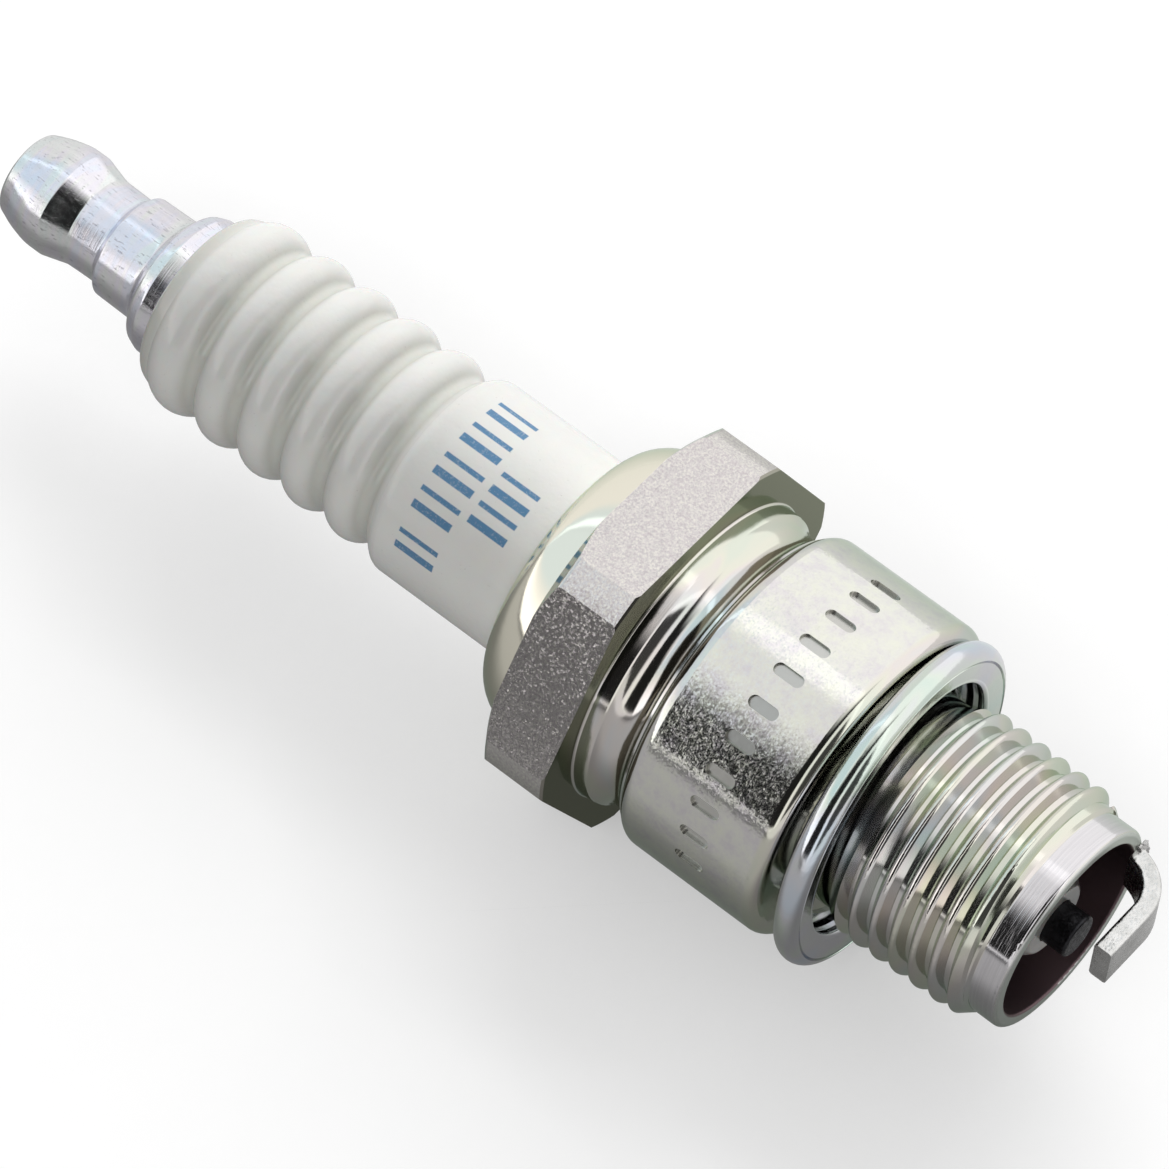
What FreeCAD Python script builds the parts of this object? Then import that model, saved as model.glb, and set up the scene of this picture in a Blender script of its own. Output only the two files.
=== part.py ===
import FreeCAD, Part
import math
import os

# Removable-terminal spark plug, M14 x 1.25, 12.7 mm reach, lying on one flat of its hexagon.
# Row frame: +X runs along the plug's axis towards the firing end, +Z is up, and the origin is on
# the axis in the plane of the shell's gasket shoulder. Angles round the axis are measured from
# +Y towards +Z. All lengths are millimetres. "Back" is the terminal side, "front" the firing side.

Vec = FreeCAD.Vector
ORIGIN = Vec(0, 0, 0)
AXIS = Vec(1, 0, 0)

# Shell
REACH = 12.7                # shoulder to the end of the shell
THREAD_PITCH = 1.25
THREAD_CREST_R = 6.92
THREAD_ROOT_R = 6.2
THREAD_BACK_X = 1.94
THREAD_FRONT_X = 11.1
PILOT_R = 6.03
PILOT_BACK_X = 11.05
MOUTH_R = 5.2
HEX_ACROSS_FLATS = 20.6
HEX_CORNER_R = 11.42
HEX_BACK_X = -16.5
HEX_FRONT_X = -12.2
BARREL_R = 9.45
BARREL_BACK_X = -9.0
NECK_R = 8.4                # at the bottom of the groove
NECK_X = -10.2
LAND_R = 8.95               # the narrow lands on both sides of the groove
RIM_BACK_X = -19.55
RIM_R = 8.7
CHAMBER_R = 7.45            # bore round the insulator's shoulder and the talc
CHAMBER_BACK_X = -18.4
STAMP_COUNT = 11
STAMP_LENGTH = 1.8
STAMP_WIDTH = 0.7
STAMP_DEPTH = 0.2
STAMP_X = -4.2
STAMP_SPACING = 12.5        # degrees
STAMP_CENTRE_ANGLE = 118.9

# Insulator
INSULATOR_R = 5.93
INSULATOR_BACK_X = -45.1
INSULATOR_BODY_R = 7.15
INSULATOR_SHOULDER_X = -13.2
INSULATOR_BORE_R = 2.2
NOSE_TIP_X = 11.8
RIB_COUNT = 5
RIB_PITCH = 2.95
RIB_CREST_R = 5.74
RIB_VALLEY_R = 5.05
RIB_VALLEY_FILLET = 0.55
FIRST_RIB_X = -42.8

# Electrodes
ELECTRODE_R = 1.22
ELECTRODE_TIP_X = 13.3
ELECTRODE_HEAD_X = -3.0
CORE_R = 0.62
SPARK_GAP = 1.2
STRAP_THICKNESS = 1.05
STRAP_WIDTH = 2.75
STRAP_CENTRE_R = 5.2        # radius at which the strap stands on the shell's end face
STRAP_LEAN = 18             # how far its riser leans towards the axis, in degrees
STRAP_BEND_R = 2.45
STRAP_EDGE_R = 0.2
STRAP_OVERHANG = 0.5        # how far the tip reaches past the axis
WELD_HEIGHT = 0.4
WELD_MARGIN = 0.42

# Terminal
NUT_HEAD_R = 3.1
NUT_WAIST_R = 2.62
NUT_FLANGE_R = 4.2
NUT_TIP_X = -57.05
NUT_HEAD_END_X = -53.85
NUT_BORE_R = 2.05
STUD_CREST_R = 1.97
STUD_ROOT_R = 1.58
STUD_PITCH = 0.7
STUD_SHANK_R = 1.95
STUD_BACK_X = -55.2
STUD_FRONT_X = -38.0
STUD_GROOVES = 7
STUD_GROOVE_PITCH = 0.9

# Suppressor in the insulator's bore
RESISTOR_BACK_X = -30.2
RESISTOR_FRONT_X = -14.2
RESISTOR_CORE_R = 1.3
RESISTOR_CAP_R = 2.1
RESISTOR_CAP_LENGTH = 2.0
WINDING_R = 1.82
WINDING_WIRE_R = 0.17
WINDING_PITCH = 0.9
SPRING_R = 1.45
SPRING_WIRE_R = 0.22
SPRING_PITCH = 1.1

# Gasket
GASKET_R = 9.47
GASKET_THICKNESS = 1.55
GASKET_SHEET = 0.34
GASKET_LIP_R = 6.78
GASKET_X = 0.55             # its back face, on the axis
GASKET_TILT = 3.2           # the loose gasket hangs a little askew, in degrees
GASKET_TILT_ANGLE = 208.9   # where round the axis it stands furthest from the shoulder
GASKET_SAG = 0.17           # how far off the axis it hangs, towards the same side

# Fits
RUNNING_GAP = 0.02          # between faces that rest on each other
CLEARANCE = 0.05            # between nested pieces of the same body
SUNK = 0.15                 # how far the root of a thread's ridge is buried

PACKING_WIRE_R = 0.7
PACKING_RING_R = (INSULATOR_R + CHAMBER_R) / 2
UPPER_RING_X = CHAMBER_BACK_X + PACKING_WIRE_R + RUNNING_GAP
LOWER_RING_X = INSULATOR_SHOULDER_X - PACKING_WIRE_R - RUNNING_GAP


def at_angle(x, radius, degrees):
    """A point at a distance from the axis, at an angle round it."""
    turn = math.radians(degrees)
    return Vec(x, radius * math.cos(turn), radius * math.sin(turn))


def via(x_mid, r_mid, x_end, r_end):
    """An arc step of an outline: through one point to another."""
    return ("arc", Vec(x_mid, r_mid, 0), Vec(x_end, r_end, 0))


def swell(x_corner, r_corner, x_end, r_end):
    """A curved step of an outline that fills out towards a corner on its way."""
    return ("swell", Vec(x_corner, r_corner, 0), Vec(x_end, r_end, 0))


def swelling_curve(start, corner, end):
    """A smooth curve that leaves towards the corner and arrives from it."""
    curve = Part.BezierCurve()
    curve.setPoles([start, (start + corner) * 0.5, (end + corner) * 0.5, end])
    return curve.toShape()


def rounded(before, corner, after, fillet):
    """Start, middle and end of the fillet in the corner between two lines."""
    back = (before - corner).normalize()
    ahead = (after - corner).normalize()
    half = back.getAngle(ahead) / 2
    setback = fillet / math.tan(half)
    inwards = (back + ahead).normalize() * (fillet / math.sin(half) - fillet)
    return corner + back * setback, corner + inwards, corner + ahead * setback


def add_line(edges, start, end):
    """Add a line to the list unless it has no length."""
    if (end - start).Length > 1e-7:
        edges.append(Part.makeLine(start, end))


def outline(*steps):
    """A closed face in the XY plane from (x, r), (x, r, fillet), via() and swell() steps."""
    corners = [step[2] if isinstance(step[0], str) else Vec(step[0], step[1], 0)
               for step in steps]
    edges = []
    home = pen = corners[0]
    for index, step in enumerate(steps):
        corner = corners[index]
        if step[0] == "arc":
            edges.append(Part.Arc(pen, step[1], corner).toShape())
            pen = corner
        elif step[0] == "swell":
            edges.append(swelling_curve(pen, step[1], corner))
            pen = corner
        elif len(step) == 2:
            add_line(edges, pen, corner)
            pen = corner
        else:
            following = corners[(index + 1) % len(steps)]
            start, middle, end = rounded(corners[index - 1], corner, following, step[2])
            add_line(edges, pen, start)
            edges.append(Part.Arc(start, middle, end).toShape())
            pen = end
    add_line(edges, pen, home)
    return Part.Face(Part.Wire(edges))


def turned(*steps):
    """A solid of revolution about the plug's axis. Its first step has no fillet."""
    return outline(*steps).revolve(ORIGIN, AXIS, 360)


def tube(x_start, x_end, r_inner, r_outer):
    return turned((x_start, r_inner), (x_start, r_outer), (x_end, r_outer), (x_end, r_inner))


def rod(x_start, x_end, radius, chamfer=0.1):
    return turned((x_start, 0), (x_start, radius - chamfer), (x_start + chamfer, radius),
                  (x_end - chamfer, radius), (x_end, radius - chamfer), (x_end, 0))


def helical_sweep(section, pitch, length, radius, x_start):
    """Sweep a section along a right-hand helix built up +Z, then lay it along +X."""
    spine = Part.Wire(Part.makeLongHelix(pitch, length, radius).Edges)
    sweep = spine.makePipeShell([section], True, True)
    sweep.rotate(ORIGIN, Vec(0, 1, 0), 90)
    sweep.translate(Vec(x_start, 0, 0))
    return sweep


def thread_ridge(pitch, root_r, crest_r, x_start, x_end, run_in, run_out):
    """One 60-degree ridge with a rounded crest, faded out by cones at both ends."""
    flank_height = 0.85 * (crest_r - root_r)
    foot = 0.44 * pitch
    shoulder = foot - flank_height * math.tan(math.radians(30))
    shoulder_r = root_r + flank_height
    corners = [Vec(shoulder_r, 0, shoulder), Vec(root_r, 0, foot), Vec(root_r - SUNK, 0, foot),
               Vec(root_r - SUNK, 0, -foot), Vec(root_r, 0, -foot), Vec(shoulder_r, 0, -shoulder)]
    sides = [Part.makeLine(start, end) for start, end in zip(corners, corners[1:])]
    sides.append(Part.Arc(corners[-1], Vec(crest_r, 0, 0), corners[0]).toShape())
    ridge = helical_sweep(Part.Wire(sides), pitch, x_end - x_start, root_r, x_start)
    over_r = crest_r + 0.1
    fade = turned((x_start, 0), (x_start, root_r), (x_start + run_in, over_r),
                  (x_end - run_out, over_r), (x_end, root_r - 0.1), (x_end, 0))
    return ridge.common(fade)


def coil(pitch, x_start, x_end, radius, wire_r):
    """A helical wire with a round section."""
    ring = Part.Wire(Part.makeCircle(wire_r, Vec(radius, 0, 0), Vec(0, 1, 0)).Edges)
    return helical_sweep(ring, pitch, x_end - x_start - 2 * wire_r, radius, x_start + wire_r)


def wire_ring(x, radius, wire_r):
    return Part.makeTorus(radius, wire_r, Vec(x, 0, 0), AXIS)


def hexagon_block():
    """The wrench hexagon, one flat down, with its corners turned off and bevelled."""
    corner_r = HEX_ACROSS_FLATS / 2 / math.cos(math.radians(30))
    corners = [at_angle(HEX_BACK_X, corner_r, 60 * k) for k in range(7)]
    prism = Part.Face(Part.makePolygon(corners)).extrude(Vec(HEX_FRONT_X - HEX_BACK_X, 0, 0))
    envelope = turned(
        (HEX_BACK_X, 0), (HEX_BACK_X, HEX_CORNER_R - 0.8),
        (HEX_BACK_X + 0.55, HEX_CORNER_R, 0.3), (HEX_FRONT_X - 0.12, HEX_CORNER_R),
        (HEX_FRONT_X, HEX_CORNER_R - 0.12), (HEX_FRONT_X, 0))
    return prism.common(envelope).cut(tube(RIM_BACK_X, BARREL_BACK_X, 0, RIM_R - 0.1))


def stamp_mark(degrees):
    """A plain round-ended dent in the barrel, where a date code would be stamped."""
    end_r = STAMP_WIDTH / 2
    half = STAMP_LENGTH / 2 - end_r
    floor_r = BARREL_R - STAMP_DEPTH
    dent = Part.makeBox(2 * half, STAMP_WIDTH, 1, Vec(-half, -end_r, floor_r))
    for x in (-half, half):
        dent = dent.fuse(Part.makeCylinder(end_r, 1, Vec(x, 0, floor_r)))
    dent = dent.removeSplitter()
    dent.translate(Vec(STAMP_X, 0, 0))
    dent.rotate(ORIGIN, AXIS, degrees - 90)
    return dent


def make_shell():
    """Steel shell: crimped rim, hexagon, neck groove, stamped barrel, thread and pilot."""
    groove_end_x = NECK_X - 1.05, NECK_X + 1.05
    body = turned(
        (-19.0, INSULATOR_R + CLEARANCE), (RIM_BACK_X, INSULATOR_R + CLEARANCE, 0.25),
        (RIM_BACK_X, 6.9), swell(RIM_BACK_X, RIM_R, -16.7, RIM_R), (HEX_BACK_X + 0.2, RIM_R),
        (HEX_FRONT_X - 0.2, RIM_R), (HEX_FRONT_X - 0.2, 9.3), (HEX_FRONT_X, 9.3),
        (HEX_FRONT_X, LAND_R + 0.05, 0.15), (groove_end_x[0] - 0.08, LAND_R),
        (groove_end_x[0], LAND_R - 0.04), via(NECK_X, NECK_R, groove_end_x[1], LAND_R - 0.05),
        (BARREL_BACK_X, LAND_R), via(-8.68, 9.31, -8.2, BARREL_R),
        (0, BARREL_R, 0.8), (0, THREAD_ROOT_R, 0.3), (PILOT_BACK_X - 0.15, THREAD_ROOT_R),
        (PILOT_BACK_X, PILOT_R), (REACH, PILOT_R, 0.3), (REACH, MOUTH_R, 0.15),
        (5.0, MOUTH_R), (4.2, 4.2), (3.1, 4.2), (2.2, 5.1), (-1.9, 5.1), (-4.2, CHAMBER_R),
        (CHAMBER_BACK_X, CHAMBER_R, 0.5), (CHAMBER_BACK_X, INSULATOR_R + CLEARANCE))
    ridge = thread_ridge(THREAD_PITCH, THREAD_ROOT_R, THREAD_CREST_R, THREAD_BACK_X,
                         THREAD_FRONT_X, 1.6, 1.2)
    shell = body.fuse(hexagon_block()).fuse(ridge)
    first_angle = STAMP_CENTRE_ANGLE - STAMP_SPACING * (STAMP_COUNT - 1) / 2
    for index in range(STAMP_COUNT):
        shell = shell.cut(stamp_mark(first_angle + STAMP_SPACING * index))
    return shell


def make_insulator():
    """Alumina insulator: ribbed top, glazed cylinder, packed shoulder, seat cone and nose."""
    depth = RIB_CREST_R - RIB_VALLEY_R
    arc_radii = ((RIB_PITCH / 2) ** 2 + depth ** 2) / (2 * depth)
    crest_share = 1 - RIB_VALLEY_FILLET / arc_radii
    half_crest = RIB_PITCH / 2 * crest_share
    join_r = RIB_CREST_R - depth * crest_share
    steps = [(INSULATOR_BACK_X, INSULATOR_BORE_R), (INSULATOR_BACK_X, 4.95, 0.7),
             (FIRST_RIB_X - 1.3, 5.32)]
    for index in range(RIB_COUNT):
        crest_x = FIRST_RIB_X + RIB_PITCH * index
        valley_x = crest_x + RIB_PITCH / 2
        steps.append(via(crest_x, RIB_CREST_R, crest_x + half_crest, join_r))
        steps.append(via(valley_x, RIB_VALLEY_R, crest_x + RIB_PITCH - half_crest, join_r))
    shoulder_x = INSULATOR_SHOULDER_X
    steps += [
        (valley_x + 1.15, INSULATOR_R, 0.8),
        (shoulder_x - 1.0, INSULATOR_R, 0.1), (shoulder_x - 0.3, INSULATOR_R + 0.1),
        (shoulder_x, INSULATOR_R + 0.4), (shoulder_x, INSULATOR_BODY_R, 0.2),
        (-4.5, INSULATOR_BODY_R, 0.3), (-2.4, 4.95, 0.3), (2.0, 4.95), (2.9, 4.05), (3.3, 3.85),
        (NOSE_TIP_X - 0.5, 2.5, 0.3), (NOSE_TIP_X, 2.05, 0.2),
        (NOSE_TIP_X, ELECTRODE_R + CLEARANCE), (-1.0, ELECTRODE_R + CLEARANCE),
        (-2.0, INSULATOR_BORE_R)]
    return turned(*steps)


def make_terminal_nut():
    """Screw-on terminal: head, waist, barrel and the flange that seats on the insulator."""
    seat_x = INSULATOR_BACK_X - RUNNING_GAP
    bore_end = STUD_BACK_X - 0.4
    return turned(
        (NUT_TIP_X, 0), (NUT_TIP_X, 2.42, 0.3), (-56.0, 2.83, 4.0), (-54.9, NUT_HEAD_R, 3.0),
        (NUT_HEAD_END_X, NUT_HEAD_R, 0.4), (-52.3, NUT_WAIST_R + 0.05, 0.3),
        (-50.3, NUT_WAIST_R, 0.15), (-49.92, NUT_HEAD_R - 0.05, 0.2), (-47.35, NUT_HEAD_R, 0.5),
        (-46.75, 3.95, 0.4), (-46.1, NUT_FLANGE_R, 0.3), (seat_x, NUT_FLANGE_R - 0.09, 0.1),
        (seat_x, NUT_BORE_R + 0.35),
        (seat_x - 0.35, NUT_BORE_R), (bore_end, NUT_BORE_R), (bore_end - 0.5, 0))


def make_terminal_stud():
    """Threaded post with a grooved shank that the cement holds in the insulator."""
    shank_x = -45.8
    steps = [(STUD_BACK_X, 0), (STUD_BACK_X, STUD_ROOT_R - 0.3), (STUD_BACK_X + 0.3, STUD_ROOT_R),
             (shank_x - 0.2, STUD_ROOT_R), (shank_x, STUD_SHANK_R)]
    groove_r = STUD_SHANK_R - 0.2
    for index in range(STUD_GROOVES):
        x = shank_x + 1.2 + STUD_GROOVE_PITCH * index
        steps += [(x, STUD_SHANK_R), (x + 0.2, groove_r), (x + 0.4, groove_r),
                  (x + 0.6, STUD_SHANK_R)]
    steps += [(STUD_FRONT_X - 0.2, STUD_SHANK_R), (STUD_FRONT_X, STUD_SHANK_R - 0.25),
              (STUD_FRONT_X, 0)]
    ridge = thread_ridge(STUD_PITCH, STUD_ROOT_R, STUD_CREST_R, STUD_BACK_X + 0.2,
                         shank_x - 0.3, 0.4, 0.4)
    return turned(*steps).fuse(ridge)


def make_gasket():
    """Folded sheet-steel sealing ring, drawn from its back face and hung slightly askew."""
    back_fold = GASKET_SHEET
    front_fold = GASKET_THICKNESS - 0.16 - GASKET_SHEET
    front = GASKET_THICKNESS
    ring = turned(
        (0, GASKET_LIP_R), (0, GASKET_R - 0.62),
        via(front * 0.48, GASKET_R, front - 0.02, GASKET_R - 0.6),
        (front - 0.2, GASKET_R - 0.66), (front - 0.04, GASKET_R - 0.74), (front - 0.16, 7.68),
        via(front - 0.38, 7.42, front_fold, 7.68), (front_fold + 0.06, 8.75),
        (front_fold - 0.2, 8.75), (front_fold - 0.2, 7.5), (back_fold + 0.22, 7.5),
        (back_fold + 0.22, 8.7), (back_fold, 8.7), (back_fold, GASKET_LIP_R))
    hinge_line = at_angle(0, 1, GASKET_TILT_ANGLE - 90)
    ring.rotate(ORIGIN, hinge_line, GASKET_TILT)
    ring.translate(at_angle(GASKET_X, GASKET_SAG, GASKET_TILT_ANGLE))
    return ring


def make_ground_electrode():
    """A rounded bar standing on the shell's end and bent over the centre electrode's tip."""
    lean = math.radians(STRAP_LEAN)
    middle_x = ELECTRODE_TIP_X + SPARK_GAP + STRAP_THICKNESS / 2
    bend_x = middle_x - STRAP_BEND_R
    riser_top_x = bend_x + STRAP_BEND_R * math.sin(lean)
    riser_top_y = STRAP_CENTRE_R - (riser_top_x - REACH) * math.tan(lean)
    bend_y = riser_top_y - STRAP_BEND_R * math.cos(lean)
    foot = Vec(REACH - 1, STRAP_CENTRE_R + math.tan(lean), 0)
    riser_top = Vec(riser_top_x, riser_top_y, 0)
    slant = (lean + math.pi / 2) / 2
    bend_middle = Vec(bend_x + STRAP_BEND_R * math.sin(slant),
                      bend_y + STRAP_BEND_R * math.cos(slant), 0)
    path = Part.Wire([
        Part.makeLine(foot, riser_top),
        Part.Arc(riser_top, bend_middle, Vec(middle_x, bend_y, 0)).toShape(),
        Part.makeLine(Vec(middle_x, bend_y, 0), Vec(middle_x, -STRAP_OVERHANG, 0))])
    across = Vec(math.sin(lean), math.cos(lean), 0) * (STRAP_THICKNESS / 2)
    width = Vec(0, 0, STRAP_WIDTH / 2)
    section = Part.makePolygon([foot - across - width, foot + across - width,
                                foot + across + width, foot - across + width,
                                foot - across - width])
    bar = path.makePipeShell([section], True, False)
    bar = bar.makeFillet(STRAP_EDGE_R, [edge for edge in bar.Edges if not is_cut_end(edge)])
    return bar.cut(Part.makeBox(4, 4, 4, Vec(REACH - 4, STRAP_CENTRE_R - 2, -2)))


def is_cut_end(edge):
    """True on the edges round the bar's two cut ends."""
    box = edge.BoundBox
    return box.XMax < REACH - 0.5 or box.YMax < -STRAP_OVERHANG + 1e-4


def make_weld():
    """Flash squeezed out round the strap's root on the shell's end face."""
    low_y, high_y = MOUTH_R + 0.05, PILOT_R - 0.04
    size_z = STRAP_WIDTH + 2 * WELD_MARGIN
    pad = Part.makeBox(WELD_HEIGHT, high_y - low_y, size_z, Vec(REACH, low_y, -size_z / 2))
    pad = pad.common(Part.makeCylinder(high_y, WELD_HEIGHT, Vec(REACH, 0, 0), AXIS))
    upper = [edge for edge in pad.Edges if edge.BoundBox.XMin > REACH + WELD_HEIGHT / 2]
    pad = pad.makeFillet(0.18, upper)
    return pad.cut(make_ground_electrode())


def make_centre_electrode():
    """Nickel-alloy sleeve with a seating head, closed over its copper core."""
    return turned(
        (ELECTRODE_HEAD_X, CORE_R), (ELECTRODE_HEAD_X, 1.9), (-2.3, 2.1), (-1.95, 2.1),
        (-1.05, ELECTRODE_R), (ELECTRODE_TIP_X, ELECTRODE_R, 0.15), (ELECTRODE_TIP_X, 0),
        (10.6, 0), (10.2, CORE_R))


def make_electrode_core():
    return turned((ELECTRODE_HEAD_X, 0), (ELECTRODE_HEAD_X, CORE_R), (10.2, CORE_R), (10.6, 0))


def make_talc_packing():
    """Talc powder pressed between the two wire rings, hollowed by each of them."""
    inner, outer = INSULATOR_R + CLEARANCE, CHAMBER_R - CLEARANCE
    hollow = PACKING_WIRE_R + RUNNING_GAP
    return turned(
        (UPPER_RING_X, inner), via(UPPER_RING_X + hollow, PACKING_RING_R, UPPER_RING_X, outer),
        (LOWER_RING_X, outer), via(LOWER_RING_X - hollow, PACKING_RING_R, LOWER_RING_X, inner))


def make_seat_washer():
    """Soft washer between the insulator's seat cone and the shell's ledge."""
    return turned((2.0, 4.95), (2.35, 4.95), (3.05, 4.25), (2.7, 4.25))


UPPER_CAP_X = RESISTOR_BACK_X - RESISTOR_CAP_LENGTH
LOWER_CAP_X = RESISTOR_FRONT_X + RESISTOR_CAP_LENGTH

pieces = {
    "terminal_nut": make_terminal_nut(),
    "terminal_stud": make_terminal_stud(),
    "stud_cement": tube(-44.9, STUD_FRONT_X - 0.4, STUD_SHANK_R, INSULATOR_BORE_R),
    "insulator": make_insulator(),
    "contact_spring": coil(SPRING_PITCH, STUD_FRONT_X + RUNNING_GAP, UPPER_CAP_X - RUNNING_GAP,
                           SPRING_R, SPRING_WIRE_R),
    "resistor_upper_cap": rod(UPPER_CAP_X, RESISTOR_BACK_X, RESISTOR_CAP_R),
    "resistor_core": rod(RESISTOR_BACK_X, RESISTOR_FRONT_X, RESISTOR_CORE_R, 0.05),
    "resistor_winding": coil(WINDING_PITCH, RESISTOR_BACK_X + 0.6, RESISTOR_FRONT_X - 0.6,
                             WINDING_R, WINDING_WIRE_R),
    "resistor_lower_cap": rod(RESISTOR_FRONT_X, LOWER_CAP_X, RESISTOR_CAP_R),
    "glass_seal": rod(LOWER_CAP_X, ELECTRODE_HEAD_X, INSULATOR_BORE_R, 0.05),
    "centre_electrode": make_centre_electrode(),
    "centre_electrode_core": make_electrode_core(),
    "shell": make_shell(),
    "upper_packing_ring": wire_ring(UPPER_RING_X, PACKING_RING_R, PACKING_WIRE_R),
    "talc_packing": make_talc_packing(),
    "lower_packing_ring": wire_ring(LOWER_RING_X, PACKING_RING_R, PACKING_WIRE_R),
    "inner_seat_washer": make_seat_washer(),
    "gasket": make_gasket(),
    "ground_electrode": make_ground_electrode(),
    "ground_electrode_weld": make_weld(),
}

os.makedirs("parts", exist_ok=True)
for name, shape in pieces.items():
    print(name, "solids", len(shape.Solids), "valid", shape.isValid(), round(shape.Volume, 2))
    shape.Solids[0].exportStep("parts/" + name + ".step")
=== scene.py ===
import math

import bmesh
import bpy
from mathutils import Matrix, Vector, noise


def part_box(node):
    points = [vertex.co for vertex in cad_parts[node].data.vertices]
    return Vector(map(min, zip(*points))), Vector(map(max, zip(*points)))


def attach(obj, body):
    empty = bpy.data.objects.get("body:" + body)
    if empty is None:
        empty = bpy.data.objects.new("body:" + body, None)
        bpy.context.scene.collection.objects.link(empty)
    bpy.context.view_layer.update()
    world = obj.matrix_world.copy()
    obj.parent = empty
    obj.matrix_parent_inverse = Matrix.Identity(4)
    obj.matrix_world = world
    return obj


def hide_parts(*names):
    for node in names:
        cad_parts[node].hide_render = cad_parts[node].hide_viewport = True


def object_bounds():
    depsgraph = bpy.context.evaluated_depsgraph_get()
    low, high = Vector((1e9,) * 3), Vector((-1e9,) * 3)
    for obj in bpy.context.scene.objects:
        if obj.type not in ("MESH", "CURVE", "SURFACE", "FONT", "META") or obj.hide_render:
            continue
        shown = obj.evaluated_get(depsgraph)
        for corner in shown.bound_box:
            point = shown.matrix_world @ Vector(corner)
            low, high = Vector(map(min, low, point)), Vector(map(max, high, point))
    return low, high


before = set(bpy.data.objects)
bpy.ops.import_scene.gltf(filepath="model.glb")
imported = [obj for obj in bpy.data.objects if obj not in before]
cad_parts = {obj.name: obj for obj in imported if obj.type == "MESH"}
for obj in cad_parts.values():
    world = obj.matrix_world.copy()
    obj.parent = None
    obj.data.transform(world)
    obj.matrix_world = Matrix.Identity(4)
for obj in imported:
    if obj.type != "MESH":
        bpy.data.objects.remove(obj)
cad_box = [list(corner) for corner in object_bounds()]

MM = 0.001
FACING = 118.9          # the side turned to the camera, in degrees round the axis from +Y to +Z
FLOOR_Z = cad_box[0][2]
FLOOR_REACH = 8.0
LAMP_DISTANCE = 1.2
LAMP_SIZE = 1.0

# Zones of the shell and the insulator, along the axis or out from it, in millimetres
RIM_END = -16.45
HEXAGON = (-16.5, -12.2)
HEXAGON_INNER_RADIUS = 8.9
BARREL = (-8.3, -0.9)
BARREL_INNER_RADIUS = 9.1
STAMPS = (-7.4, -1.6)
STAMP_RADII = (9.0, 9.35)
PILOT_START, PILOT_INNER_RADIUS = 11.05, 5.95
END_FACE_START, END_FACE_INNER_RADIUS = 12.55, 5.1
MOUTH_RADIUS = 5.35
RIBS_END = -27.0
RIB_VALLEY_RADII = (5.08, 5.62)
NOSE_START = 4.0
PRINT_RADIUS = 5.85


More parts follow.
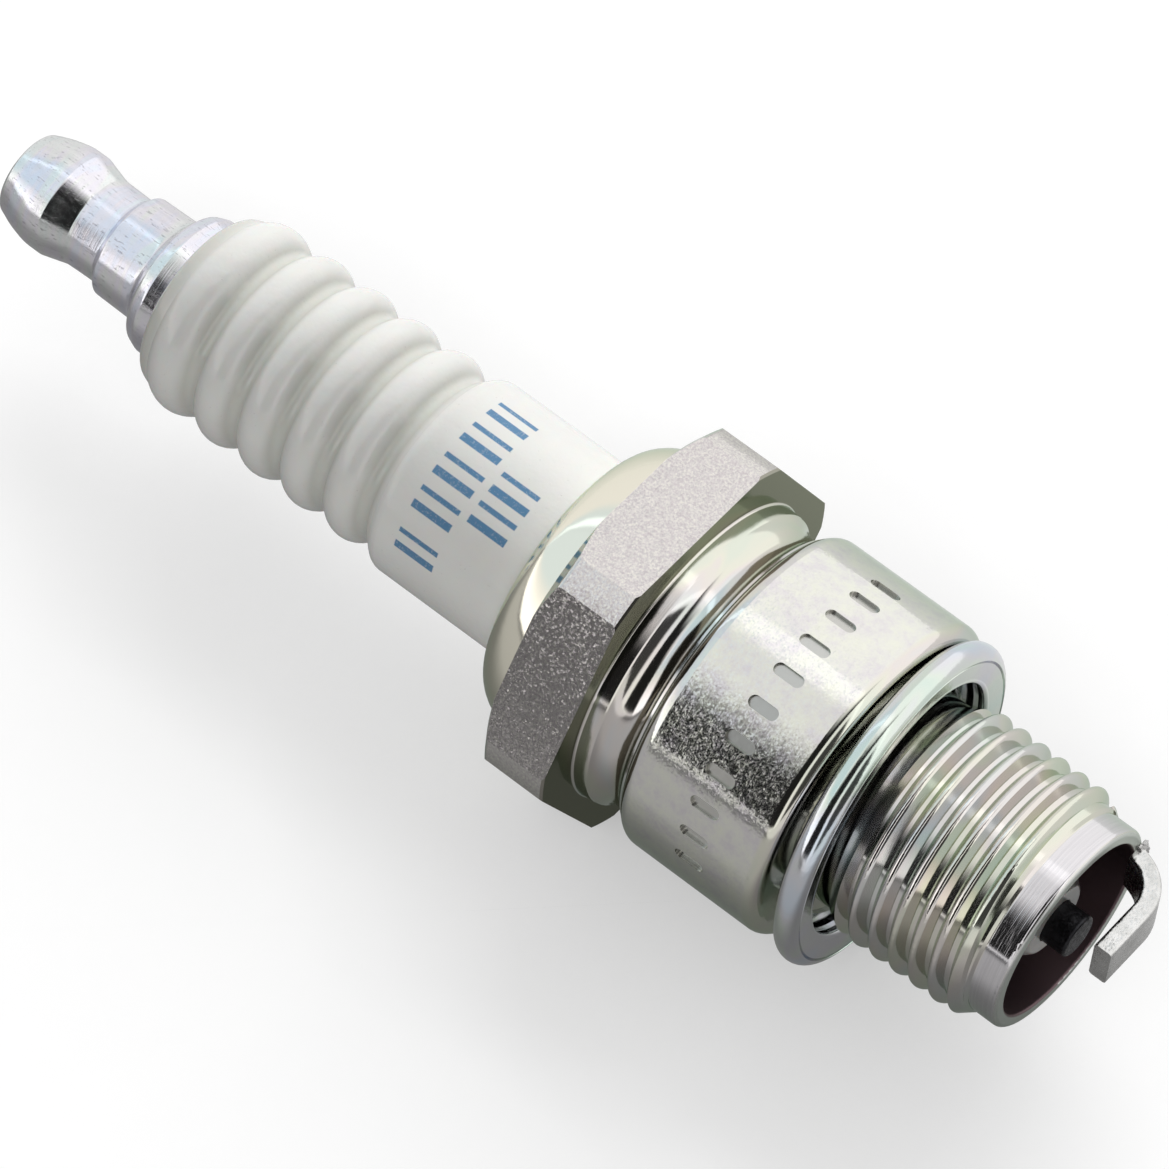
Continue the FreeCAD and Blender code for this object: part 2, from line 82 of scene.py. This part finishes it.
# ---------------------------------------------------------------- node building
class Graph:
    """Shorthand for building a node tree. Values may be numbers, colours or sockets."""

    def __init__(self, tree):
        self.tree = tree
        tree.nodes.clear()

    def node(self, kind, inputs=(), **settings):
        made = self.tree.nodes.new(kind)
        for name, value in settings.items():
            setattr(made, name, value)
        for key, value in dict(inputs).items():
            self.feed(made.inputs[key], value)
        return made

    def feed(self, socket, value):
        if isinstance(value, bpy.types.NodeSocket):
            self.tree.links.new(value, socket)
        elif value is not None:
            if socket.type == "RGBA" and len(value) == 3:
                value = (*value, 1.0)
            socket.default_value = value

    def math(self, operation, a, b=None, c=None, clamp=False):
        made = self.node("ShaderNodeMath", operation=operation, use_clamp=clamp)
        for socket, value in zip(made.inputs, (a, b, c)):
            self.feed(socket, value)
        return made.outputs[0]

    def add(self, a, b):
        return self.math("ADD", a, b)

    def mul(self, a, b):
        return self.math("MULTIPLY", a, b)

    def invert(self, a):
        return self.math("SUBTRACT", 1.0, a, clamp=True)

    def largest(self, first, *rest):
        for value in rest:
            first = self.math("MAXIMUM", first, value)
        return first

    def ramp(self, value, low, high, out_low=0.0, out_high=1.0, smooth=True):
        made = self.node("ShaderNodeMapRange", clamp=True,
                         interpolation_type="SMOOTHSTEP" if smooth else "LINEAR")
        for socket, item in zip(made.inputs, (value, low, high, out_low, out_high)):
            self.feed(socket, item)
        return made.outputs[0]

    def past(self, value, edge, width=0.1):
        """0 up to the edge, rising to 1 over the width beyond it."""
        return self.ramp(value, edge, edge + width)

    def short_of(self, value, edge, width=0.1):
        """0 beyond the edge, rising to 1 over the width before it."""
        return self.ramp(value, edge, edge - width)

    def band(self, value, low, high, soft):
        """1 between low and high, falling to 0 over soft outside them."""
        rise = self.ramp(value, low - soft, low)
        fall = self.ramp(value, high, high + soft, 1.0, 0.0)
        return self.mul(rise, fall)

    def mix(self, factor, a, b, blend="MIX"):
        """Mixes two colours, as blend mixes two numbers."""
        made = self.node("ShaderNodeMix", data_type="RGBA", blend_type=blend)
        self.feed(made.inputs[0], factor)
        self.feed(made.inputs[6], a)
        self.feed(made.inputs[7], b)
        return made.outputs[2]

    def blend(self, factor, a, b):
        made = self.node("ShaderNodeMix", data_type="FLOAT")
        self.feed(made.inputs[0], factor)
        self.feed(made.inputs[2], a)
        self.feed(made.inputs[3], b)
        return made.outputs[0]

    def noise(self, vector, scale, detail=2.0, roughness=0.5, distortion=0.0):
        made = self.node("ShaderNodeTexNoise",
                         {"Vector": vector, "Scale": scale, "Detail": detail,
                          "Roughness": roughness, "Distortion": distortion})
        return made.outputs[0]

    def vector(self, operation, inputs):
        return self.node("ShaderNodeVectorMath", inputs, operation=operation).outputs[0]

    def combine(self, x, y, z):
        return self.node("ShaderNodeCombineXYZ", {"X": x, "Y": y, "Z": z}).outputs[0]

    def colours(self, value, *stops):
        """A colour ramp. Each stop is a place from 0 to 1 and a colour."""
        made = self.node("ShaderNodeValToRGB", {"Fac": value})
        ramp = made.color_ramp
        while len(ramp.elements) < len(stops):
            ramp.elements.new(0.5)
        for element, (place, colour) in zip(ramp.elements, stops):
            element.position = place
            element.color = (*colour, 1.0)
        return made.outputs[0]

    def length(self, a, b):
        return self.math("SQRT", self.add(self.mul(a, a), self.mul(b, b)))

    def turn_about_x(self, y, z):
        """The angle round the x axis, in degrees from +y towards +z."""
        return self.math("DEGREES", self.math("ARCTAN2", z, y))


class Finish(Graph):
    """A material whose coordinates are the row frame's, in millimetres."""

    def __init__(self, name, **fixed):
        self.material = bpy.data.materials.new(name)
        self.material.use_nodes = True
        super().__init__(self.material.node_tree)
        self.shader = self.node("ShaderNodeBsdfPrincipled")
        for key, value in fixed.items():
            self.feed(self.shader.inputs[key.replace("_", " ")], value)
        output = self.node("ShaderNodeOutputMaterial")
        self.tree.links.new(self.shader.outputs[0], output.inputs[0])
        coords = self.node("ShaderNodeTexCoord")
        self.point = self.vector("SCALE", {0: coords.outputs["Object"], "Scale": 1 / MM})
        split = self.node("ShaderNodeSeparateXYZ", {0: self.point})
        self.x, self.y, self.z = split.outputs
        self.radius = self.length(self.y, self.z)
        self.turn = self.turn_about_x(self.y, self.z)
        facing = self.node("ShaderNodeSeparateXYZ", {0: coords.outputs["Normal"]})
        self.normal_x = facing.outputs[0]

    def set(self, **values):
        for key, value in values.items():
            self.feed(self.shader.inputs[key.replace("_", " ")], value)

    def stretched(self, along, across):
        """The point scaled by one factor along the axis and by another across it."""
        return self.combine(self.mul(self.x, along), self.mul(self.y, across),
                            self.mul(self.z, across))

    def bump(self, height, normal=None):
        """A normal bent by a height in millimetres."""
        return self.node("ShaderNodeBump",
                         {"Height": height, "Distance": MM, "Normal": normal}).outputs[0]

    def facets(self, fineness, tilt):
        """A normal that leans a random way in each little cell, as blasted metal glitters."""
        cells = self.node("ShaderNodeTexVoronoi", {"Vector": self.point, "Scale": fineness})
        lean = self.vector("SUBTRACT", {0: cells.outputs["Color"], 1: (0.5, 0.5, 0.5)})
        scaled = self.vector("SCALE", {0: lean, "Scale": tilt})
        normal = self.node("ShaderNodeNewGeometry").outputs["Normal"]
        return self.vector("NORMALIZE", {0: self.vector("ADD", {0: normal, 1: scaled})})

    def lathe_lines(self, fineness, wobble=0.12):
        """Fine lines round the axis, as a cutting tool leaves them."""
        return self.noise(self.stretched(fineness, wobble), 1.0, 3.0, 0.65)

    def film_tint(self, base, amount, scale=0.22):
        """The faint lilac, pink and yellow-green of a thin passivated film."""
        drift = self.noise(self.stretched(2.5 * scale, 0.6 * scale), 1.0, 2.0, 0.5, 0.4)
        hues = self.colours(drift, (0.30, (0.80, 0.93, 0.78)), (0.42, (0.97, 0.96, 0.80)),
                            (0.52, (0.98, 0.84, 0.90)), (0.62, (0.85, 0.84, 1.0)),
                            (0.72, (0.80, 0.95, 0.95)))
        return self.mix(amount, base, hues, "MULTIPLY")


def dress(finish, *names):
    """Give the CAD nodes of these names this finish."""
    for name in names:
        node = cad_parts[name]
        if not node.material_slots:
            node.data.materials.append(finish.material)
        for slot in node.material_slots:
            slot.material = finish.material


# ---------------------------------------------------------------- finishes
def shell_finish():
    """Zinc-plated steel. The zones follow the distance along the axis and from it."""
    f = Finish("shell_plating", Metallic=1.0, Specular_Tint=(0.70, 0.78, 0.70))
    on_hexagon = f.mul(f.band(f.x, *HEXAGON, 0.02), f.past(f.radius, HEXAGON_INNER_RADIUS))
    flat_side = f.short_of(f.math("ABSOLUTE", f.normal_x), 0.35, 0.2)
    forged = f.mul(on_hexagon, flat_side)
    painted_dark_front_face = f.mul(on_hexagon, f.past(f.normal_x, 0.5, 0.4))
    rim = f.short_of(f.x, RIM_END)
    barrel = f.mul(f.band(f.x, *BARREL, 0.3), f.past(f.radius, BARREL_INNER_RADIUS))
    dent = f.mul(f.band(f.x, *STAMPS, 0.1), f.band(f.radius, *STAMP_RADII, 0.06))
    pilot = f.mul(f.past(f.x, PILOT_START), f.past(f.radius, PILOT_INNER_RADIUS, 0.05))
    end_face = f.mul(f.past(f.x, END_FACE_START), f.past(f.radius, END_FACE_INNER_RADIUS))
    inside = f.mul(f.short_of(f.radius, MOUTH_RADIUS), f.past(f.x, 0.0, 0.5))

    grain = f.noise(f.point, 3.0, 3.0, 0.6)
    glitter = f.add(f.mul(f.mul(barrel, f.invert(dent)), 0.034), f.mul(forged, 0.028))
    lines = f.lathe_lines(9.0)
    fine_scratch = f.lathe_lines(26.0, 0.5)

    bright = f.film_tint((0.70, 0.69, 0.64), 0.4)
    flat_colour = f.colours(f.noise(f.point, 8.0, 3.0, 0.7), (0.35, (0.52, 0.47, 0.48)),
                            (0.5, (0.60, 0.57, 0.56)), (0.64, (0.70, 0.67, 0.62)))
    colour = f.mix(forged, bright, flat_colour)
    barrel_colour = f.colours(f.noise(f.point, 0.9, 4.0, 0.75), (0.35, (0.66, 0.63, 0.64)),
                              (0.5, (0.70, 0.69, 0.65)), (0.65, (0.72, 0.72, 0.64)))
    colour = f.mix(barrel, colour, barrel_colour)
    colour = f.mix(pilot, colour, f.mix(lines, (0.54, 0.52, 0.54), (0.76, 0.74, 0.75)))
    colour = f.mix(end_face, colour, (0.60, 0.61, 0.59))
    # painted reflection: the hexagon's face towards the firing end is coloured near black,
    # standing in for the dark it mirrors
    colour = f.mix(painted_dark_front_face, colour, (0.19, 0.17, 0.13))
    # painted highlight: the rim is coloured brighter and cream so that its highlight reads cream
    colour = f.mix(rim, colour, (0.85, 0.81, 0.69))
    # painted shade: the floors of the stamped dents are coloured darker
    colour = f.mix(dent, colour, (0.55, 0.54, 0.51))
    # painted shade: the bore inside the shell's mouth is coloured near black
    colour = f.mix(inside, colour, (0.16, 0.11, 0.12))

    roughness = f.blend(forged, 0.10, 0.08)
    roughness = f.blend(pilot, roughness, 0.09)
    roughness = f.blend(end_face, roughness, 0.35)
    roughness = f.blend(dent, roughness, 0.30)
    roughness = f.blend(inside, roughness, 0.45)

    height = f.mul(grain, f.add(f.mul(forged, 0.003), f.mul(barrel, 0.006)))
    height = f.add(height, f.mul(lines, f.mul(pilot, 0.005)))
    height = f.add(height, f.mul(fine_scratch, 0.0012))
    f.set(Base_Color=colour, Roughness=roughness,
          Normal=f.bump(height, f.facets(10.0, glitter)))
    return f


def insulator_finish():
    """Glazed alumina with plain blue strokes where the maker's print would be."""
    f = Finish("glazed_alumina_finish", Metallic=0.0, IOR=1.52, Coat_Weight=0.5,
               Coat_Roughness=0.06, Subsurface_Weight=0.15, Subsurface_Scale=0.5 * MM)
    cloud = f.noise(f.point, 0.35, 3.0, 0.5)
    speck = f.ramp(f.noise(f.point, 7.0, 1.0, 0.5), 0.76, 0.80)
    colour = f.mix(cloud, (0.80, 0.795, 0.76), (0.86, 0.86, 0.83))
    colour = f.mix(f.mul(speck, 0.25), colour, (0.5, 0.48, 0.44))
    valley_floor, valley_lip = RIB_VALLEY_RADII
    # painted shade: the valleys between the ribs are coloured darker
    valley_shade = f.mul(f.short_of(f.x, RIBS_END, 1.0), f.ramp(f.radius, valley_lip, valley_floor))
    colour = f.mix(f.mul(valley_shade, 0.9), colour, (0.62, 0.62, 0.565))
    # painted shade: the insulator's nose inside the shell's mouth is coloured grey
    colour = f.mix(f.past(f.x, NOSE_START, 1.0), colour, (0.52, 0.51, 0.48))
    outside = f.past(f.radius, PRINT_RADIUS, 0.05)
    # each row: its start and end along the axis, and its marks in degrees from the facing side
    rows = ((-26.85, -24.4, (41, 15.5, -4.7, -26.2, -46.9)),
            (-23.8, -21.45, (5.1, -13.2)))
    pair = ((-4.6, 1.1), (4.6, 1.9))        # a thin and a thick stroke: place and half width
    strokes = []
    for start, end, places in rows:
        along = f.band(f.x, start, end, 0.08)
        for place in places:
            for side, half_width in pair:
                middle = FACING + place + side
                across = f.band(f.turn, middle - half_width, middle + half_width, 0.7)
                strokes.append(f.mul(along, across))
    worn = f.ramp(f.noise(f.point, 6.0, 2.0, 0.6), 0.2, 0.5, 0.7, 1.0)
    marks = f.mul(f.mul(f.largest(*strokes), outside), worn)
    colour = f.mix(marks, colour, (0.075, 0.22, 0.40))
    glaze = f.noise(f.point, 1.1, 2.0, 0.5)
    peel = f.noise(f.point, 4.5, 1.0, 0.5)
    height = f.add(f.mul(glaze, 0.03), f.mul(peel, 0.006))
    height = f.add(height, f.mul(speck, 0.02))
    f.set(Base_Color=colour, Roughness=f.blend(marks, 0.26, 0.42), Normal=f.bump(height))
    return f


def terminal_finish():
    """Bright zinc plating with short dark scratches along the nut."""
    f = Finish("terminal_plating", Metallic=1.0)
    streak = f.noise(f.stretched(0.35, 3.0), 1.0, 3.0, 0.6)
    scratch = f.ramp(f.noise(f.stretched(2.0, 9.0), 1.0, 2.0, 0.6), 0.6, 0.7)
    base = f.mix(streak, (0.68, 0.69, 0.73), (0.82, 0.83, 0.86))
    colour = f.film_tint(f.mix(f.mul(scratch, 0.5), base, (0.3, 0.3, 0.33)), 0.35, 0.45)
    roughness = f.ramp(streak, 0.3, 0.7, 0.12, 0.24)
    height = f.add(f.mul(f.lathe_lines(14.0), 0.004), f.mul(scratch, -0.003))
    f.set(Base_Color=colour, Roughness=roughness, Normal=f.bump(height))
    return f


def gasket_finish():
    """Bright bluish plating over slightly uneven pressed sheet."""
    f = Finish("gasket_plating", Metallic=1.0)
    colour = f.film_tint((0.66, 0.72, 0.72), 0.6, 0.3)
    unevenness = f.noise(f.point, 0.9, 2.0)
    grain = f.noise(f.point, 20.0, 2.0)
    height = f.add(f.mul(unevenness, 0.02), f.mul(grain, 0.001))
    f.set(Base_Color=colour, Roughness=0.14, Normal=f.bump(height))
    return f


def nickel_finish(name, dark, light, rough_low, rough_high, grain_height):
    """Satin nickel alloy with a fine grain and small glittering facets."""
    f = Finish(name, Metallic=1.0)
    grain = f.noise(f.point, 6.0, 3.0, 0.6)
    broad = f.noise(f.point, 1.2, 2.0, 0.5)
    colour = f.mix(broad, dark, light)
    roughness = f.ramp(grain, 0.3, 0.7, rough_low, rough_high)
    normal = f.bump(f.mul(grain, grain_height), f.facets(7.0, 0.14))
    f.set(Base_Color=colour, Roughness=roughness, Normal=normal)
    return f


def plain_finish(name, dark, light, metallic, roughness, grain_scale, grain_height):
    """A grained finish for a piece that is sealed inside."""
    f = Finish(name, Metallic=metallic, Roughness=roughness)
    grain = f.noise(f.point, grain_scale, 3.0, 0.6)
    f.set(Base_Color=f.mix(grain, dark, light), Normal=f.bump(f.mul(grain, grain_height)))
    return f


dress(shell_finish(), "shell")
dress(insulator_finish(), "insulator")
dress(terminal_finish(), "terminal_nut", "terminal_stud")
dress(gasket_finish(), "gasket")
dress(nickel_finish("strap_nickel", (0.48, 0.48, 0.46), (0.84, 0.83, 0.82), 0.14, 0.34, 0.03),
      "ground_electrode")
dress(nickel_finish("dark_nickel", (0.02, 0.02, 0.022), (0.06, 0.06, 0.065), 0.3, 0.5, 0.03),
      "centre_electrode")
dress(plain_finish("copper_core", (0.55, 0.26, 0.15), (0.75, 0.42, 0.27), 1.0, 0.3, 3.0, 0.01),
      "centre_electrode_core")
dress(plain_finish("drawn_wire", (0.35, 0.35, 0.36), (0.55, 0.55, 0.57), 1.0, 0.3, 8.0, 0.004),
      "contact_spring", "resistor_winding")
dress(plain_finish("pressed_brass", (0.62, 0.45, 0.18), (0.78, 0.62, 0.32), 1.0, 0.28, 4.0, 0.004),
      "resistor_upper_cap", "resistor_lower_cap")
dress(plain_finish("fired_core", (0.62, 0.56, 0.46), (0.72, 0.67, 0.58), 0.0, 0.7, 5.0, 0.02),
      "resistor_core")
dress(plain_finish("grey_cement", (0.42, 0.41, 0.39), (0.60, 0.59, 0.56), 0.0, 0.85, 5.0, 0.04),
      "stud_cement")
dress(plain_finish("filled_glass", (0.10, 0.07, 0.06), (0.26, 0.17, 0.12), 0.2, 0.25, 4.0, 0.02),
      "glass_seal")
dress(plain_finish("talc_powder", (0.72, 0.71, 0.67), (0.84, 0.83, 0.80), 0.0, 0.9, 6.0, 0.03),
      "talc_packing")
dress(plain_finish("soft_steel", (0.38, 0.38, 0.38), (0.52, 0.52, 0.52), 1.0, 0.35, 5.0, 0.01),
      "upper_packing_ring", "lower_packing_ring", "inner_seat_washer")


# ---------------------------------------------------------------- weld flash
def weld_flash():
    """Lumpy flash round the root of the ground electrode, kept inside the CAD weld's box."""
    low, high = (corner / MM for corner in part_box("ground_electrode_weld"))
    size = high - low
    middle = Vector(((low.x + high.x) / 2, (low.y + high.y) / 2, 0))
    room_for_lumps = 0.9
    slope = 0.3
    lump_heights = Vector((0.10, 0.05, 0.08))
    form = bmesh.new()
    bmesh.ops.create_cube(form, size=1.0)
    bmesh.ops.scale(form, vec=size, verts=form.verts)
    bmesh.ops.subdivide_edges(form, edges=form.edges, cuts=20, use_grid_fill=True)
    for vert in form.verts:
        rise = vert.co.x / size.x + 0.5         # 0 at the shell's end face, 1 at the flash's top
        place = vert.co * room_for_lumps + middle
        lump = lump_heights * noise.fractal(place * 3.2, 0.8, 2.0, 3)
        lump.x *= rise
        place.x -= slope * rise * min(1.0, (abs(place.z) / (size.z / 2)) ** 4)
        place += lump
        inside = (min(max(v, a), b) for v, a, b in zip(place, low, high))
        vert.co = Vector(inside) * MM
    mesh = bpy.data.meshes.new("weld_flash")
    form.to_mesh(mesh)
    form.free()
    mesh.polygons.foreach_set("use_smooth", [True] * len(mesh.polygons))
    piece = bpy.data.objects.new("weld_flash", mesh)
    bpy.context.scene.collection.objects.link(piece)
    finish = nickel_finish("weld_metal_finish", (0.40, 0.39, 0.38), (0.80, 0.79, 0.78),
                           0.18, 0.4, 0.08)
    mesh.materials.append(finish.material)
    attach(piece, "plug_body")
    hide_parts("ground_electrode_weld")


weld_flash()


# ---------------------------------------------------------------- floor, light and camera
def make_floor():
    """White paper that glows though it is no lamp. The camera sees it near white, with a painted
    contact shadow round the plug. The metal mirrors a painted glow, dim near the plug and brighter
    away from it on both sides and past the tip."""
    mesh = bpy.data.meshes.new("floor")
    corners = [(x * FLOOR_REACH, y * FLOOR_REACH, FLOOR_Z)
               for x, y in ((-1, -1), (1, -1), (1, 1), (-1, 1))]
    mesh.from_pydata(corners, [], [(0, 1, 2, 3)])
    floor = bpy.data.objects.new("floor", mesh)
    bpy.context.scene.collection.objects.link(floor)
    paper = Finish("floor_paper", Roughness=0.9, Specular_IOR_Level=0.1)
    seen = paper.node("ShaderNodeLightPath").outputs["Is Camera Ray"]
    fibre = paper.noise(paper.point, 0.8, 3.0, 0.6)
    white = paper.mix(fibre, (0.955, 0.955, 0.955), (0.97, 0.97, 0.97))
    seen_colour = paper.mix(0.6, white, (0.0, 0.0, 0.0))
    mirrored_colour = (0.12, 0.12, 0.12)

    # painted shade in the mirrored glow: dim near the plug, brighter away from it
    near_side = paper.mul(paper.ramp(paper.y, -26.0, -10.0, 0.38, 0.17),
                          paper.ramp(paper.y, -300.0, -100.0, 0.1, 1.0))
    glow = paper.add(near_side, paper.ramp(paper.y, 0.0, 22.0, 0.0, 0.60))
    glow = paper.largest(glow, paper.ramp(paper.x, 25.0, 60.0, 0.0, 0.75))

    # painted contact shadow: the glow the camera sees is dimmed where the plug is close
    openness = paper.node("ShaderNodeAmbientOcclusion", {"Distance": 14 * MM}).outputs["AO"]
    lift = paper.ramp(openness, 0.0, 1.0, 0.35, 0.72, smooth=False)
    far_off = paper.ramp(paper.length(paper.x, paper.y), 250.0, 1200.0)
    lift = paper.blend(far_off, lift, 1.0)
    paper.set(Base_Color=paper.mix(seen, mirrored_colour, seen_colour), Emission_Color=white,
              Emission_Strength=paper.blend(seen, glow, lift))
    mesh.materials.append(paper.material)


def make_world():
    """What the bright metal mirrors: a white studio with a dark gap on the camera's side.

    A direction is told by x, its part along the axis, and by its turn about the axis: 0 is the far
    side, 90 is straight up and 180 is the near side."""
    world = bpy.data.worlds.new("studio")
    world.use_nodes = True
    g = Graph(world.node_tree)
    direction = g.node("ShaderNodeTexCoord").outputs["Generated"]
    split = g.node("ShaderNodeSeparateXYZ", {0: direction})
    x, y, z = split.outputs
    turn = g.turn_about_x(y, z)

    # the near side: panels towards the terminal end, and one towards the firing end
    middle_panel = g.ramp(turn, 105.0, 140.0, 1.15, 1.5)
    end_panel = g.ramp(turn, 142.0, 175.0, 1.0, 1.6)
    back_panel = g.blend(g.ramp(x, -0.39, -0.38), end_panel, middle_panel)
    back_panel = g.blend(g.ramp(x, -0.34, -0.32), back_panel, 1.0)
    front_panel = g.ramp(x, 0.60, 0.70, 1.1, 0.06)
    near_side = g.blend(g.ramp(x, 0.0, 0.1), back_panel, front_panel)

    # the far side and overhead, with a bright lamp along the top
    far_side = g.mul(g.ramp(x, -0.36, -0.31, 0.95, 1.25), g.ramp(turn, -60.0, 0.0, 0.6, 1.0))
    lamp = g.mul(g.band(turn, 76.0, 82.0, 3.0), g.invert(g.band(x, -0.37, -0.34, 0.03)))
    far_side = g.blend(lamp, far_side, 1.5)
    level = g.blend(g.ramp(turn, 86.0, 93.0), far_side, near_side)

    # the dark gap between the near panels, whose upper edge fades out and slants
    slanted = g.add(turn, g.mul(g.add(x, 0.25), 97.0))
    gap = g.mul(g.band(x, -0.33, 0.40, 0.01), g.ramp(turn, 179.0, 176.0))
    fade = g.largest(g.ramp(slanted, 113.0, 144.0),
                     g.mul(g.ramp(turn, 86.0, 112.0), g.ramp(x, -0.22, -0.12)))
    level = g.blend(g.mul(gap, fade), level, 0.015)

    seen = g.node("ShaderNodeLightPath").outputs["Is Camera Ray"]
    level = g.blend(seen, level, 1.0)
    blueness = g.mul(g.band(turn, 70.0, 135.0, 15.0), g.ramp(x, -0.32, -0.36))
    blueness = g.mul(blueness, g.invert(seen))
    colour = g.mix(blueness, (1.0, 1.0, 1.0), (0.82, 0.93, 1.0))
    background = g.node("ShaderNodeBackground", {"Color": colour, "Strength": level})
    output = g.node("ShaderNodeOutputWorld")
    g.tree.links.new(background.outputs[0], output.inputs[0])
    world.cycles_visibility.diffuse = False
    bpy.context.scene.world = world


def add_soft_light(name, towards, power):
    """A large square lamp that lights matt surfaces and isn't mirrored in the metal."""
    data = bpy.data.lights.new(name, "AREA")
    data.size = LAMP_SIZE
    data.energy = power
    lamp = bpy.data.objects.new(name, data)
    towards = Vector(towards).normalized()
    lamp.location = towards * LAMP_DISTANCE
    lamp.rotation_euler = towards.to_track_quat("Z", "Y").to_euler()
    lamp.visible_glossy = False
    bpy.context.scene.collection.objects.link(lamp)


def make_camera():
    """A long lens that looks down on the near side, from a little past the firing end."""
    turn, lift, roll = (math.radians(angle) for angle in (34.483, 56.218, 6.366))
    to_the_right, upwards, away = -14.491, 10.205, 404.68
    back = Vector((math.sin(turn) * math.cos(lift), -math.cos(turn) * math.cos(lift),
                   math.sin(lift)))
    level = Vector((math.cos(turn), math.sin(turn), 0.0))
    above = back.cross(level)
    right = level * math.cos(roll) + above * math.sin(roll)
    up = above * math.cos(roll) - level * math.sin(roll)
    place = (right * to_the_right + up * upwards + back * away) * MM
    data = bpy.data.cameras.new("camera")
    data.sensor_width = 36.0
    data.lens = 246.88
    data.clip_start = 0.01
    data.clip_end = 20.0
    camera = bpy.data.objects.new("camera", data)
    camera.matrix_world = Matrix((
        (right.x, up.x, back.x, place.x), (right.y, up.y, back.y, place.y),
        (right.z, up.z, back.z, place.z), (0, 0, 0, 1)))
    bpy.context.scene.collection.objects.link(camera)
    bpy.context.scene.camera = camera


make_floor()
make_world()
add_soft_light("key", (-0.35, 0.75, 0.60), 18.0)
add_soft_light("fill", (0.2, -0.76, 0.65), 6.8)
make_camera()
bpy.context.scene.view_settings.view_transform = "Standard"
